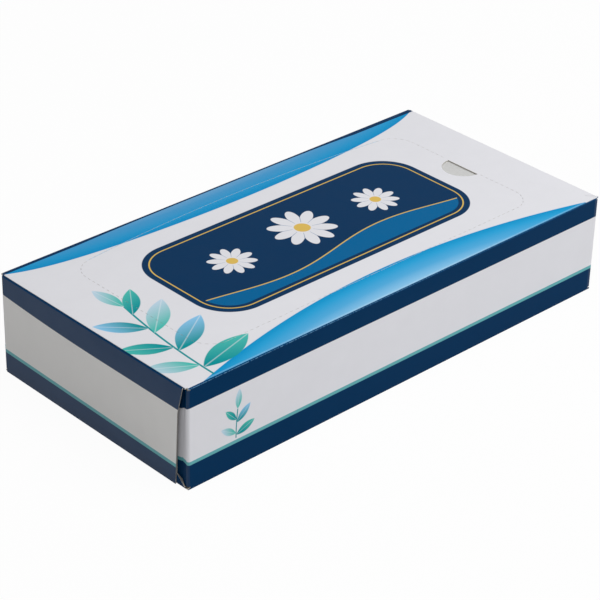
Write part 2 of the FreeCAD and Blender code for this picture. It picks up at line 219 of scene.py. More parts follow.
# %% [markdown]
# Inks are mixed on screen, so they are written as screen values from 0 to 255 and turned
# into the linear light that the shader works with.

# %% Inks
def ink(red, green, blue):
    """A screen colour as linear light, with full cover."""
    light = [v / 255 for v in (red, green, blue)]
    return [v / 12.92 if v <= 0.04045 else ((v + 0.055) / 1.055) ** 2.4 for v in light] + [1.0]


WHITE = ink(233, 233, 238)
NAVY = ink(0, 50, 89)
# A lighter navy, painted where the roundings of the folds catch the light.
FOLD_HIGHLIGHT_BLUE = ink(0, 72, 124)
TEAL_LINE = ink(105, 180, 185)
SKY_EDGE = ink(0, 150, 209)
SKY_DEEP = ink(44, 166, 221)
SKY_MID = ink(85, 176, 227)
SKY_PALE = ink(143, 203, 241)
DENSE_BLUE = ink(0, 60, 138)
MID_BLUE = ink(0, 100, 154)
GOLD = ink(227, 191, 97)
TEAL = ink(0, 149, 155)
AQUA = ink(79, 193, 182)
ICE = ink(197, 221, 238)
# The end flaps' white is painted a little warmer, standing in for the warmer light that falls on the
# ends.
FLAP_WARM_LIGHT_WHITE = ink(236, 235, 233)
# A near white: pale ink in the leaves' ribs, and painted highlight on the folds and the perforation's
# lip.
PALE_INK_AND_HIGHLIGHT = ink(232, 240, 246)
print("white board reflects", [round(v, 2) for v in WHITE[:3]])

# %% [markdown]
# ## The print
#
# The outside is one printed sheet, so one material carries all of it and chooses by place.
# Near a fold the surface turns a corner, and a border drawn at a fixed height would jump
# across it. Adding the two distances from the fold gives a number that runs smoothly round
# the corner: it is 0 on the fold, grows over the top and falls down the wall. Every border
# between panels is drawn on that number.

# %% Distances round the folds
FRONT_LAP, FRONT_LAP_SLOPE = 0.15, 0.0025
BACK_LAP, BACK_LAP_SLOPE = 1.12, 0.0036
BACK_LAP_GROWTH, BACK_LAP_EXTRA = 2.8e-8, 1.1
END_LAP = 0.2
BASE_MARGIN, BASE_SEEN_BELOW = 4.0, 1.0
STEEP = 99.0


class Layout:
    """Where a point of the printed sheet lies, in millimetres."""

    def __init__(self, finish):
        self.point = finish.place()
        self.x, self.y, self.z = finish.split(self.point)
        from_top = self.z - HEIGHT
        self.past_front = from_top + (self.y + WIDTH / 2)
        self.past_back = from_top + (WIDTH / 2 - self.y)
        self.past_left = from_top + (self.x + LENGTH / 2)
        self.past_right = from_top + (LENGTH / 2 - self.x)
        self.past_navy = self.past_front + (self.x * FRONT_LAP_SLOPE + FRONT_LAP)

    def on_top(self):
        """1 on the top panel.

        The navy of the walls laps over the end folds, and over the back fold in a strip that
        is widest at the corners. At the front it stops just short of the fold.
        """
        bow = self.x * self.x
        widening = (bow * bow * BACK_LAP_GROWTH).least(BACK_LAP_EXTRA)
        back = self.past_back - BACK_LAP - widening * (self.x * BACK_LAP_SLOPE + 1.0)
        sides = (self.past_left - END_LAP).least(self.past_right - END_LAP)
        return self.past_navy.least(back).least(sides).positive(0.18)

    def base_inset(self):
        """Millimetres inside the navy margin of the base panel, and below 0 off that panel."""
        across = (WIDTH / 2 - BASE_MARGIN) - abs(self.y)
        along = (LENGTH / 2 - BASE_MARGIN) - abs(self.x)
        return across.least(along).least((BASE_SEEN_BELOW - self.z) * STEEP)


# %% Bands round the walls
BAND, LINE_TOP, FOOT = 36.53, 12.45, 10.9
FLAP_BAND, FLAP_LINE_TOP, FLAP_FOOT = 34.55, 10.3, 8.7
WALL_SLOPE, FLAP_SLOPE = -0.0022, 0.016
FLAP_CURVE, FLAP_CURVE_START = 0.00056, -5.0
DIP_SLOPE, DIP_MOST = 0.45, 2.2
BORDER_SOFTNESS = 0.2


def wall_print(finish, layout):
    """Navy above and below a pale field, with a teal line on the lower band.

    The long walls' borders fall by half a millimetre along the carton. The end flaps are
    printed lower, and run out of true: their borders rise along the flap. On the dust flaps
    the upper border dips to meet the outer flap's.
    """
    on_flap = (abs(layout.x) - (LENGTH / 2 - BOARD / 2)).positive(0.1)
    fall = layout.x * WALL_SLOPE
    rise = layout.y * FLAP_SLOPE
    lift = (layout.y - FLAP_CURVE_START).most(0.0)
    dip = ((WIDTH / 2 - abs(layout.y)) * DIP_SLOPE).least(DIP_MOST)

    def above(wall, flap, slant):
        """1 above a border that has one level on the walls, and one with a slant on the flaps."""
        level = fall + wall
        height = layout.z - (level + on_flap * (slant + flap - level))
        return height.positive(BORDER_SOFTNESS)

    # On the end flaps the pale field takes the warmer white, painted for the warmer light on the ends.
    pale = finish.blend(on_flap, WHITE, FLAP_WARM_LIGHT_WHITE)
    colour = finish.blend(above(LINE_TOP, FLAP_LINE_TOP, rise), TEAL_LINE, pale)
    colour = finish.blend(above(FOOT, FLAP_FOOT, rise), NAVY, colour)
    return finish.blend(above(BAND - dip, FLAP_BAND, lift * lift * FLAP_CURVE), colour, NAVY)


# %% Curved sky-blue fields
FRONT_FIELD, FRONT_BOW = 40.15, 0.00142
BACK_FIELD, BACK_BOW = 41.7, 0.00065
BACK_TURN, BACK_TURN_AT = 3.1, 110
FIELD_DEPTH = 16.0
SKY_STOPS = [(0.0, SKY_EDGE), (0.26, SKY_DEEP), (0.62, SKY_MID), (1.0, SKY_PALE)]
DENSER_EDGE, DENSER_GROWTH = 0.1, 0.24


def sky_fields(finish, layout, colour):
    """The two blue fields along the long edges, strongest at their curved inner edge.

    The front one has a plain bow. The back one runs flatter and turns in fast at its ends,
    and it is printed denser, most of all beside the fold.
    """
    bow = layout.x * layout.x
    turn = bow * (1 / BACK_TURN_AT ** 2)
    turn = turn * turn
    front = (layout.y * -1.0 - FRONT_FIELD) - bow * FRONT_BOW
    back = (layout.y - BACK_FIELD) - bow * BACK_BOW - turn * turn * BACK_TURN
    inside = front.most(back)
    share = inside / FIELD_DEPTH
    denser = layout.y.positive(1.0) * (share * DENSER_GROWTH + DENSER_EDGE)
    wash = finish.blend(denser, finish.ramp(share, SKY_STOPS), DENSE_BLUE)
    return finish.blend(inside.positive(0.3), colour, wash)


# %% [markdown]
# The middle of the top carries a plain navy plaque with a thin gold line, a paler wave along
# its foot and three daisies. A plaque with round corners is a distance: how far the point is
# from a smaller rectangle, less the corner's radius. A daisy is a circle whose radius swings
# with the angle.

# %% The plaque and its daisies
PLAQUE = {"middle": (1.0, 1.0), "half": (75.0, 31.0), "corner": 18.0}
KEYLINE_INSET, KEYLINE_HALF = 3.0, 0.3
WAVE_INSET, WAVE_LEVEL, WAVE_SWELL, WAVE_TURN = 5.0, -15.5, 4.0, 0.055
DAISIES = [((-40.0, 4.0), 10.5), ((1.0, 6.0), 15.0), ((42.0, 4.0), 10.5)]
PETAL_SWING, EYE_SHARE = 0.42, 0.24
RIB_FROM, RIB_TO, RIB_STRENGTH = 0.3, 0.62, 0.6


def inside_plaque(finish, layout):
    """Millimetres inside the plaque's rounded outline."""
    corner = PLAQUE["corner"]
    over = [
        (abs(value - middle) - (half - corner)).most(0.0)
        for value, middle, half in zip((layout.x, layout.y), PLAQUE["middle"], PLAQUE["half"])
    ]
    reach = finish.maths("SQRT", over[0] * over[0] + over[1] * over[1])
    return corner - reach


def daisy(finish, layout, colour, middle, radius, petals=10):
    """White petals round a gold eye, parted by fine blue ribs."""
    x, y = layout.x - middle[0], layout.y - middle[1]
    reach = finish.maths("SQRT", x * x + y * y)
    turn = finish.maths("ARCTAN2", y, x)
    swing = abs(finish.maths("COSINE", turn * (petals / 2)))
    edge = (swing * PETAL_SWING + (1 - PETAL_SWING)) * radius
    colour = finish.blend((edge - reach).positive(0.3), colour, WHITE)
    rib = (0.1 - swing).positive(0.12) * (reach - radius * RIB_FROM).positive(0.3)
    rib = rib * (radius * RIB_TO - reach).positive(0.3)
    colour = finish.blend(rib * RIB_STRENGTH, colour, MID_BLUE)
    return finish.blend((radius * EYE_SHARE - reach).positive(0.3), colour, GOLD)


def plaque(finish, layout, colour):
    """The plaque, its wave, its gold line and its daisies."""
    inside = inside_plaque(finish, layout)
    colour = finish.blend(inside.positive(0.25), colour, NAVY)
    swell = finish.maths("SINE", layout.x * WAVE_TURN)
    wave = (WAVE_LEVEL + swell * WAVE_SWELL) - layout.y
    inner = (inside - WAVE_INSET).positive(0.25)
    colour = finish.blend(wave.positive(0.3) * inner, colour, MID_BLUE)
    crest = (KEYLINE_HALF - abs(wave)).positive(0.2) * inner
    colour = finish.blend(crest, colour, GOLD)
    keyline = (KEYLINE_HALF - abs(inside - KEYLINE_INSET)).positive(0.2)
    colour = finish.blend(keyline, colour, GOLD)
    for middle, radius in DAISIES:
        colour = daisy(finish, layout, colour, middle, radius)
    return colour


# %% [markdown]
# A sprig of leaves grows up the left side of the top, and a small one stands on each long
# wall. One leaf is a Mapping node that moves, turns and scales the sheet so that the leaf lies
# between -1 and 1, and a parabola on that. A loop lays as many leaves as the stem carries.

# %% Leaves
LEAF_SLENDERNESS = 0.36
LEAF_RIB, LEAF_RIB_STRENGTH = 0.05, 0.45
STEM_BEND, STEM_HALF_WIDTH = 0.0016, 0.45


def leaf(finish, sheet, colour, middle, angle, half_size, tones):
    """A pointed leaf that pales from its stalk to its tip, with a fine rib."""
    half_length, half_width = half_size
    inputs = {
        "Vector": sheet,
        "Location": (*middle, 0.0),
        "Rotation": (0.0, 0.0, math.radians(angle)),
        "Scale": (half_length, half_width, 1.0),
    }
    turned = finish.node("ShaderNodeMapping", {"vector_type": "TEXTURE"}, inputs)
    along, across, _ = finish.split(turned)
    inside = (1.0 - along * along) - abs(across)
    wash = finish.ramp((along + across * 0.4) * 0.5 + 0.5, [(0.1, tones[0]), (0.95, tones[1])])
    rib = (LEAF_RIB - abs(across)).positive(0.06)
    wash = finish.blend(rib * LEAF_RIB_STRENGTH, wash, PALE_INK_AND_HIGHLIGHT)
    return finish.blend(inside.positive(0.35 / half_width), colour, wash)


def sprig(finish, sheet, colour, root, size, leaves):
    """A bent stem from a root, and its leaves, each a height on the stem, an angle and a half length."""
    across, up, _ = finish.split(sheet)
    bend = STEM_BEND / size
    rise = up - root[1]
    off_stem = abs(across - (rise * rise * bend + root[0]))
    on_stem = (rise.least(leaves[-1][0] * size - rise)).positive(0.4)
    stem = (STEM_HALF_WIDTH * size ** 0.5 - off_stem).positive(0.2) * on_stem
    colour = finish.blend(stem, colour, TEAL)
    tones = [(TEAL, AQUA), (AQUA, ICE), (TEAL, SKY_PALE)]
    for number, (height, angle, half_length) in enumerate(leaves):
        turn, reach = math.radians(angle), half_length * size
        foot = (root[0] + bend * (height * size) ** 2, root[1] + height * size)
        middle = (foot[0] + reach * math.cos(turn), foot[1] + reach * math.sin(turn))
        half_size = (reach, reach * LEAF_SLENDERNESS)
        colour = leaf(finish, sheet, colour, middle, angle, half_size, tones[number % 3])
    return colour


TOP_LEAVES = [
    (6, 14, 15),
    (8, 148, 11),
    (21, 32, 14),
    (24, 146, 11),
    (37, 44, 13),
    (41, 136, 11),
    (53, 54, 10),
    (60, 96, 9),
]
WALL_LEAVES = [(4, 20, 15), (6, 150, 13), (20, 42, 14), (24, 134, 12), (38, 84, 13)]
TOP_SPRIG = {"root": (-102.0, -55.5), "size": 1.0, "leaves": TOP_LEAVES}
WALL_SPRIG = {"root": (-92.0, 13.5), "size": 0.34, "leaves": WALL_LEAVES}


def wall_sheet(finish, layout):
    """The long walls laid flat, so that the leaf nodes read X and Z as if on the top."""
    return finish.node("ShaderNodeCombineXYZ", {}, {"X": layout.x, "Y": layout.z})


# %% [markdown]
# The whole sheet is then the panels laid over each other. What is left is what creasing and
# handling do, and some painted light. Where a fold's rounding catches the light, a lighter navy
# and a pale line are painted on as highlights. Along the creases a pale broken line is partly ink
# cracks and partly painted highlight, and so is the line along the perforation, whose cut lip
# stands up a little and catches the light. The end flaps are pressed by belts while their glue
# sets, which polishes their varnish, so they alone get a thin coat.

# %% Painted highlights and ink cracks on the folds
NEAR_TOP = 1.2
FOLD_LIGHT_HALF, FOLD_LIGHT_STRENGTH = 0.45, 0.7
LIT_AT, LIT_HALF, LIT_STRENGTH = 0.5, 0.4, 0.14
CREASE_LINE_BELOW, CREASE_LINE_HALF = 0.7, 0.18
CREASE_LINE_FADE_AT, CREASE_LINE_FADE_OVER = -10.0, 110.0


def near_top(layout):
    """1 on the top panel and on the first millimetre of the walls below it."""
    return (layout.z - (HEIGHT - NEAR_TOP)).positive(0.3)


def front_fold(finish, layout, colour):
    """Painted highlights on the long front fold: lighter blue on its wall side, a pale line on its top.
    """
    # Painted highlight: the fold's rounding catches the light, so the navy just below it is painted
    # lighter.
    fold_light = (FOLD_LIGHT_HALF - abs(layout.past_navy + FOLD_LIGHT_HALF)).positive(0.2) * near_top(layout)
    colour = finish.blend(fold_light * FOLD_LIGHT_STRENGTH, colour, FOLD_HIGHLIGHT_BLUE)
    # Painted highlight: a pale line on the top side of the fold.
    lit = (LIT_HALF - abs(layout.past_navy - LIT_AT)).positive(0.2) * near_top(layout)
    return finish.blend(lit * LIT_STRENGTH, colour, PALE_INK_AND_HIGHLIGHT)


def crease_lines(layout):
    """Pale broken line on the top folds, part ink cracks, part painted highlight: most at the front
    left.
    """
    front = (CREASE_LINE_HALF - abs(layout.past_front + CREASE_LINE_BELOW)).positive(0.2)
    fade = (layout.x - CREASE_LINE_FADE_AT).positive(CREASE_LINE_FADE_OVER)
    ends = (0.16 - abs(layout.past_left).least(abs(layout.past_right))).positive(0.2)
    return (front * (1.0 - fade * 0.8) + ends * 0.15) * near_top(layout)


# %% Round the upright folds
DUST_FLAP_INSET, OUTER_FLAP_FACE = 2.2, 0.6
SHADE_FROM, SHADE_OVER = 3.4, 4.4


def upright_folds(layout):
    """1 on the rounding of the four upright folds."""
    near_side = (abs(layout.y) - (WIDTH / 2 - 1.3)).positive(0.8)
    near_end = (abs(layout.x) - (LENGTH / 2 - 1.7)).positive(0.4)
    return near_side * near_end


def painted_shade_under_flap(layout):
    """Painted shade: 0 at an upright fold, rising to 1 where a dust flap runs in under the outer flap.
    """
    past_wall = (abs(layout.x) - (LENGTH / 2 - DUST_FLAP_INSET)).positive(0.2)
    behind_flap = (LENGTH / 2 - OUTER_FLAP_FACE - abs(layout.x)).positive(0.1)
    below_top = ((HEIGHT - NEAR_TOP) - layout.z).positive(0.5)
    above_base = (layout.z - 1.0).positive(0.5)
    inward = (WIDTH / 2 - SHADE_FROM - abs(layout.y)).positive(SHADE_OVER)
    return past_wall * behind_flap * below_top * above_base * inward


# %% The edge of the tear-out panel
PANEL_HALF_LENGTH, PANEL_CORNER = 93.0, 10.0
PANEL_FRONT, PANEL_BACK, PANEL_BOW = -41.2, 41.6, 5.6


def perforation_lip(layout, broken):
    """How far the panel's long edges show as a pale line: plain at the back, broken in front."""
    # The pale line is partly ink cracks and partly painted highlight where the raised cut lip catches
    # the light; it also raises the bump.
    reach = layout.x / PANEL_HALF_LENGTH
    back = abs(layout.y - ((1.0 - reach * reach) * PANEL_BOW + PANEL_BACK))
    front = abs(layout.y - PANEL_FRONT)
    between_corners = (PANEL_HALF_LENGTH - PANEL_CORNER - abs(layout.x)).positive(4.0)
    on_face = (layout.z - (HEIGHT - 0.1)).positive(0.1)
    lines = (0.2 - back).positive(0.2) + (0.16 - front).positive(0.2) * broken
    return between_corners * on_face * lines


# %% All panels as one sheet
BASE_LINE_INSET, BASE_LINE_HALF = 3.0, 0.4


def sheet_colour(finish, layout):
    """The print before any wear: walls and flaps, top and base."""
    walls = wall_print(finish, layout)
    on_long_wall = (abs(layout.y) - (WIDTH / 2 - 0.3)).positive(0.1)
    grown = sprig(finish, wall_sheet(finish, layout), walls, **WALL_SPRIG)
    walls = finish.blend(on_long_wall, walls, grown)
    top = sky_fields(finish, layout, WHITE)
    top = sprig(finish, layout.point, top, **TOP_SPRIG)
    top = plaque(finish, layout, top)
    colour = finish.blend(layout.on_top(), walls, top)
    inset = layout.base_inset()
    line = (BASE_LINE_HALF - abs(inset - BASE_LINE_INSET)).positive(0.2)
    base = finish.blend(line, WHITE, TEAL_LINE)
    return finish.blend(inset.positive(0.18), colour, base)


# %% The printed face
PRESSED_BELOW = 1.1
FLAP_SHADE = 0.38
TOOTH_SIZE, GRAIN_SIZE, MOTTLE_SIZE, LIE_SIZE = 0.35, 0.9, 9.0, 42.0


def printed_face():
    """The outside of the board: print, satin varnish, creases, paper tooth, painted highlights and
    shade.
    """
    finish = Finish("printed_board_face", Specular_IOR_Level=0.03, IOR=1.46, Coat_Roughness=0.32)
    layout = Layout(finish)
    colour = front_fold(finish, layout, sheet_colour(finish, layout))
    on_end = (abs(layout.x) - (LENGTH / 2 - 0.1)).positive(0.1)
    pressed = on_end * ((HEIGHT - PRESSED_BELOW) - layout.z).positive(0.6)
    # Painted highlight: the end flaps' top rounding, above the polished part, gets a lighter navy as if
    # catching the light.
    end_fold_highlight = (on_end - pressed) * (0.0 - layout.past_left.least(layout.past_right)).positive(0.3)
    colour = finish.blend(end_fold_highlight * 0.6, colour, FOLD_HIGHLIGHT_BLUE)
    mottle = finish.cloud(layout.point, MOTTLE_SIZE, detail=3.0)
    # Random tone in the white, and painted shade on the dust flaps beside the outer flaps' edges.
    colour = finish.shade(colour, (0.98 + mottle * 0.04) - painted_shade_under_flap(layout) * FLAP_SHADE)
    drawn_out = finish.stretched(layout.point, z=0.4)
    broken = (finish.cloud(drawn_out, GRAIN_SIZE, detail=4.0, roughness=0.7) - 0.5).positive(0.16)
    # A pale broken line on the creases, partly ink cracks and partly painted highlight.
    cracks_and_highlight = crease_lines(layout) * broken
    lip = perforation_lip(layout, broken)
    colour = finish.blend(cracks_and_highlight * 0.5, colour, SKY_PALE)
    # Painted highlight on the perforation's lip: white in front, pale blue at the back.
    lip_highlight_colour = finish.blend(layout.y.positive(1.0), PALE_INK_AND_HIGHLIGHT, SKY_PALE)
    colour = finish.blend(lip * 0.5, colour, lip_highlight_colour)
    tooth = finish.cloud(layout.point, TOOTH_SIZE, detail=3.0)
    lie = finish.cloud(layout.point, LIE_SIZE, detail=1.0)
    height = tooth * 0.10 + lie * 6.0 + lip * 0.6
    finish.drive(
        Base_Color=colour,
        Roughness=0.40 + mottle * 0.10 + cracks_and_highlight * 0.3,
        Coat_Weight=pressed.most(upright_folds(layout)) * (0.26 + mottle * 0.14),
        Normal=finish.relief(height, 0.35, 0.15),
    )
    return finish.material


board_face = printed_face()
print("printed face uses", len(board_face.node_tree.nodes), "nodes")

# %% [markdown]
# Folding boxboard is white only on its lined side. The inside is grey-brown pulp with fibres
# and specks, and a die-cut edge shows the pale core between two thin white layers.

# %% Inside and cut edges
PULP_DARK, PULP_PALE, SPECK = ink(168, 160, 148), ink(204, 198, 186), ink(96, 88, 80)
# The last is a painted shade for the cut edges at the ends.
CORE_DARK, CORE_PALE, EDGE_SHADE = ink(196, 190, 178), ink(240, 236, 228), ink(84, 84, 88)


def board_reverse():
    """The unprinted inside: recycled pulp with fibres and specks."""
    finish = Finish("board_reverse", Specular_IOR_Level=0.2)
    point = finish.place()
    fibres = finish.cloud(finish.stretched(point, x=0.25), 0.5, detail=4.0, roughness=0.7)
    specks = finish.cloud(point, 0.9, detail=2.0)
    colour = finish.ramp(fibres, [(0.3, PULP_DARK), (0.7, PULP_PALE)])
    colour = finish.blend((specks - 0.68).positive(0.06) * 0.6, colour, SPECK)
    finish.drive(
        Base_Color=colour,
        Roughness=0.86 + fibres * 0.1,
        Normal=finish.relief(fibres, 0.5, 0.06),
    )
    return finish.material


def board_edge():
    """A die-cut edge: pale pulp core, slightly torn, and painted darker grey at the ends, as shade."""
    finish = Finish("board_edge", Specular_IOR_Level=0.15)
    point = finish.place()
    pulp = finish.cloud(point, 0.22, detail=4.0, roughness=0.7)
    x, _, z = finish.split(point)
    colour = finish.ramp(pulp, [(0.25, CORE_DARK), (0.75, CORE_PALE)])
    # Painted shade: the end flaps' cut edges are darkened between base and top, as the thin shadow line
    # beside them.
    at_end = (abs(x) - (LENGTH / 2 - 3)).positive(1.0)
    painted_edge_shade = at_end * (z - 2.0).positive(1.0) * ((HEIGHT - 1.5) - z).positive(1.0)
    colour = finish.blend(painted_edge_shade * 0.62, colour, EDGE_SHADE)
    finish.drive(Base_Color=colour, Roughness=0.88 + pulp * 0.1, Normal=finish.relief(pulp, 0.7, 0.08))
    return finish.material


reverse_face = board_reverse()
cut_face = board_edge()

# %% [markdown]
# ## The board itself
#
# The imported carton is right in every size, so its shape is kept. It is copied, because the
# print, the grey inside and the raw edges need three materials on one sheet. A loose triangle
# soup can't be shaded smoothly round a fold, so the copy's points are merged first. Then each
# face is sorted by looking straight through the board behind it: a board's thickness away means
# a broad side, anything else is a cut edge, and a broad side that faces out is the printed one.

# %% Helpers for editing one object at a time
def only(piece):
    """Deselects everything, then selects and activates one piece."""
    bpy.ops.object.select_all(action="DESELECT")
    piece.select_set(True)
    bpy.context.view_layer.objects.active = piece


def finish_mesh(piece, name, angle=32):
    """Names a piece, bakes its place into its mesh and smooths its gentle edges."""
    only(piece)
    bpy.ops.object.transform_apply(location=True, rotation=True, scale=True)
    bpy.ops.object.shade_smooth_by_angle(angle=math.radians(angle))
    piece.name = piece.data.name = name
    print(name, len(piece.data.polygons), "faces")


# %% Copy and merge the carton
carton = bpy.data.objects.new("printed_carton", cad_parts["carton"].data.copy())
bpy.context.scene.collection.objects.link(carton)
only(carton)
bpy.ops.mesh.customdata_custom_splitnormals_clear()
bpy.ops.object.mode_set(mode="EDIT")
bpy.ops.mesh.select_all(action="SELECT")
bpy.ops.mesh.remove_doubles(threshold=0.002 * MM)
bpy.ops.object.mode_set(mode="OBJECT")
print("merged to", len(carton.data.vertices), "points")

# %% Divide the dust flaps where they will bend
VALLEY, FLAT_AGAIN = 4.2, 6.6
bpy.ops.object.mode_set(mode="EDIT")
for inset in (VALLEY, FLAT_AGAIN):
    for sign in (-1, 1):
        bpy.ops.mesh.select_all(action="SELECT")
        bpy.ops.mesh.bisect(plane_co=(0, sign * (WIDTH / 2 - inset) * MM, 0), plane_no=(0, 1, 0))
bpy.ops.object.mode_set(mode="OBJECT")
print("divided to", len(carton.data.vertices), "points")

# %% Sort its faces
PRINTED, REVERSE, CUT = range(3)
FACE_STEP, THICKNESS_SLACK = 0.05, 0.12


def sort_faces(sheet):
    """Gives each face its material by what lies a board's thickness behind it."""
    mesh = sheet.data
    middle = (carton_low + carton_high) / 2
    tree = BVHTree.FromPolygons([v.co for v in mesh.vertices], [p.vertices for p in mesh.polygons])
    step = FACE_STEP * MM
    for face in mesh.polygons:
        start = face.center - face.normal * step
        _, _, _, depth = tree.ray_cast(start, -face.normal, 0.75 * MM)
        through = None if depth is None else (depth + step) / MM
        if through is None or abs(through - BOARD) > THICKNESS_SLACK:
            face.material_index = CUT
        elif face.normal.dot(face.center - middle) > 0:
            face.material_index = PRINTED
        else:
            face.material_index = REVERSE


carton.data.materials.clear()
for face_finish in (board_face, reverse_face, cut_face):
    carton.data.materials.append(face_finish)
sort_faces(carton)

# %% [markdown]
# A filled carton is never quite as true as its drawing. Its long top folds and the front's
# lower one are pressed sharp. The dust flaps are pushed in a little between their upright fold
# and the flap glued over them. The outer flaps' free edges hang down to the table, and the
# carton leans out of square, so two opposite corners run out. The notch was cut a little off its
# place. All these moves are small, at most 1.6 mm, so the points are simply moved by their place.

# %% Press the folds sharp
LONG_FOLD, UPRIGHT_FOLD = 0.8, 1.0
LONG_SHARE, UPRIGHT_SHARE = 0.3, 0.35
WALL_END = LENGTH / 2 - 1.0


def sharpened(a, b, radius, share):
    """Draws a point of an outer rounding, given as its depths behind two flats, to their corner."""
    outer = -0.01 < min(a, b) < 0.35 and max(a, b) < radius - 0.01
    return (a * share, b * share) if outer else (a, b)


def leaning(x, y):
    """True near the two upright folds that run out: right front and left back."""
    return x * y < 0


def press_folds(x, y, z):
    """Sharpens the long top folds, the front's lower fold and the two leaning upright folds."""
    if abs(x) < LENGTH / 2 - 0.9:
        from_side, from_top = sharpened(WIDTH / 2 - abs(y), HEIGHT - z, LONG_FOLD, LONG_SHARE)
        y, z = math.copysign(WIDTH / 2 - from_side, y), HEIGHT - from_top
        if y < 0:
            from_side, z = sharpened(WIDTH / 2 + y, z, LONG_FOLD, LONG_SHARE)
            y = from_side - WIDTH / 2
    if abs(x) > WALL_END - 1.5 and abs(y) > WIDTH / 2 - 1.1 and leaning(x, y):
        from_end, from_side = sharpened(
            WALL_END - abs(x), WIDTH / 2 - abs(y), UPRIGHT_FOLD, UPRIGHT_SHARE
        )
        x = math.copysign(WALL_END - from_end, x)
        y = math.copysign(WIDTH / 2 - from_side, y)
    return x, y, z


# %% Let the flaps and corners give
VALLEY_DEPTH, VALLEY_DEPTH_AT_TOP = 0.7, 0.9
RUN_OUT_OVER, RUN_OUT_RIGHT, RUN_OUT_LEFT = 5.0, 0.97, 0.6
FLAP_INSET, FLAP_SHIFT = 1.1, 1.3
FLAP_EDGE, FLAP_EDGE_HANGS_TO = 0.3, 0.15


def settle_flaps(x, y, z, inset):
    """Bends the dust flaps, runs two corners out and lets the outer flaps hang."""
    on_dust_flap = WALL_END - 0.5 < abs(x) < WALL_END + 0.1 and 0.5 < z < HEIGHT - 0.5
    if on_dust_flap and abs(inset - VALLEY) < 0.05:
        x -= math.copysign(VALLEY_DEPTH + VALLEY_DEPTH_AT_TOP * (z / HEIGHT) ** 4, x)
    past = abs(x) - (LENGTH / 2 - RUN_OUT_OVER)
    if past > 0 and abs(y) > WIDTH / 2 - 0.7 and leaning(x, y):
        x += (RUN_OUT_RIGHT if x > 0 else -RUN_OUT_LEFT) * min(1.0, past / 3)
    on_flap = abs(x) > LENGTH / 2 - 0.5
    if on_flap and x > 0 and abs(WIDTH / 2 - FLAP_INSET + y) < 0.05 and z < HEIGHT - 0.35:
        y += FLAP_SHIFT
    if on_flap and abs(z - FLAP_EDGE) < 0.02:
        z = FLAP_EDGE_HANGS_TO
    return x, y, z


# %% Shift the notch
NOTCH_X, NOTCH_Y, NOTCH_RADIUS = 93.0, 0.2, 8.9
NOTCH_BACK, NOTCH_LEAN = 0.3, 0.5


def shift_notch(x, y, z):
    """Draws the notch's arc back and aside, the more so the further in it reaches."""
    near = math.hypot(x - NOTCH_X, y - NOTCH_Y) < NOTCH_RADIUS + 0.2
    if near and z > HEIGHT - 0.5 and x < NOTCH_X + 0.01:
        depth = (NOTCH_X - x) / NOTCH_RADIUS
        x -= NOTCH_BACK + NOTCH_LEAN * depth
        y += NOTCH_LEAN * depth
    return x, y, z


# %% Settle the carton
def settle(point):
    """Moves one point of the copied carton, in millimetres."""
    inset = WIDTH / 2 - abs(point.y)
    x, y, z = press_folds(*point)
    x, y, z = settle_flaps(x, y, z, inset)
    return shift_notch(x, y, z)


moved = 0
for vertex in carton.data.vertices:
    before = vertex.co / MM
    after = Vector(settle(before))
    moved += (after - before).length > 0.001
    vertex.co = after * MM
print("settled", moved, "points")
finish_mesh(carton, "printed_carton")
for index, label in ((PRINTED, "printed"), (REVERSE, "reverse"), (CUT, "cut")):
    print(label, sum(p.material_index == index for p in carton.data.polygons), "faces")
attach(carton, "root")
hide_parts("carton")

# %% [markdown]
# ## The film
#
# Under the tear-out panel a thin film is glued down all round and slit along its middle. It is
# never flat: it is tight at the glue and slack inside. A grid is cut round the slit by four
# bisections, the strip between them is deleted, and the inner points sink by a sum of long and
# short waves that fades to nothing at the glued border.

# %% Film
SLIT_HALF = Vector((76.0, 0.4, 0)) * MM
GLUED_BORDER, SLACK_OVER, MOST_SLACK = 6.0 * MM, 30.0 * MM, 0.5 * MM
FILM_THICKNESS = 0.05 * MM


def wrinkle(x, y):
    """How far the slack film sinks at a place in millimetres, as a share of the most."""
    long_wave = noise.noise(Vector((x * 0.035, y * 0.09, 3.0)))
    short_wave = noise.noise(Vector((x * 0.22 + y * 0.12, y * 0.16, 8.0)))
    return 0.5 + 0.38 * long_wave + 0.30 * short_wave


def make_film():
    """A fine grid with the slit cut out, its inner points sunk, given a thickness."""
    low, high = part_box("window_film")
    middle = (low + high) / 2
    size = high - low
    bpy.ops.object.select_all(action="DESELECT")
    bpy.ops.mesh.primitive_grid_add(x_subdivisions=150, y_subdivisions=78, size=1, location=middle)
    film = bpy.context.object
    film.scale = (size.x, size.y, 1)
    only(film)
    bpy.ops.object.transform_apply(location=True, rotation=True, scale=True)
    bpy.ops.object.mode_set(mode="EDIT")
    for axis in (0, 1):
        for sign in (-1, 1):
            normal = Vector((0, 0, 0))
            normal[axis] = 1
            bpy.ops.mesh.select_all(action="SELECT")
            bpy.ops.mesh.bisect(plane_co=middle + sign * SLIT_HALF, plane_no=normal)
    bpy.ops.mesh.select_all(action="DESELECT")
    bpy.ops.object.mode_set(mode="OBJECT")
    for face in film.data.polygons:
        off = face.center - middle
        face.select = abs(off.x) < SLIT_HALF.x and abs(off.y) < SLIT_HALF.y
    bpy.ops.object.mode_set(mode="EDIT")
    bpy.ops.mesh.delete(type="FACE")
    bpy.ops.object.mode_set(mode="OBJECT")
    slack_film(film, middle, size)
    only(film)
    skin = film.modifiers.new("thickness", "SOLIDIFY")
    skin.thickness = FILM_THICKNESS
    skin.offset = 0
    bpy.ops.object.modifier_apply(modifier=skin.name)
    finish_mesh(film, "wrinkled_film", angle=60)
    return film


